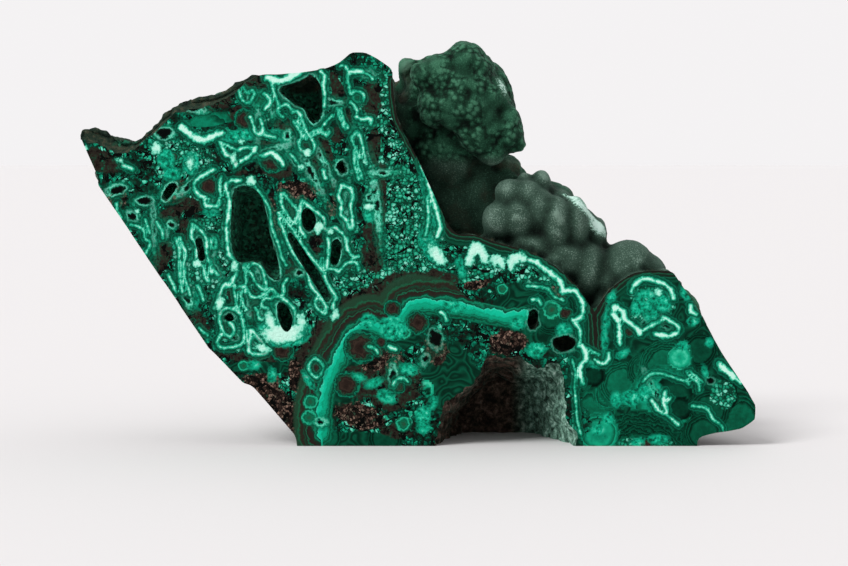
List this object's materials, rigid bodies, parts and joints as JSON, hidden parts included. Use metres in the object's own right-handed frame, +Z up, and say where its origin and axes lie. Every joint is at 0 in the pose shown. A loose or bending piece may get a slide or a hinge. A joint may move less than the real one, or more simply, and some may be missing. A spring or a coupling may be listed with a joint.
{
  "type": "malachite specimen",
  "caption": "Sawn and polished malachite nodule with banded face, vugs, grape-like natural crust and a flat foot to stand on.",
  "frame": {"origin": "on the flat sawn foot, at the centre of the stone's width and depth", "axes": "+Z up; the sawn and polished face looks along -Y; +X runs along the stone's longest side, to the right as seen from the polished face"},
  "size_m": [0.1798, 0.0539, 0.1083],
  "materials": {
    "malachite": "satin"
  },
  "bodies": {
    "root": {"malachite_specimen": "malachite"}
  },
  "joints": []
}
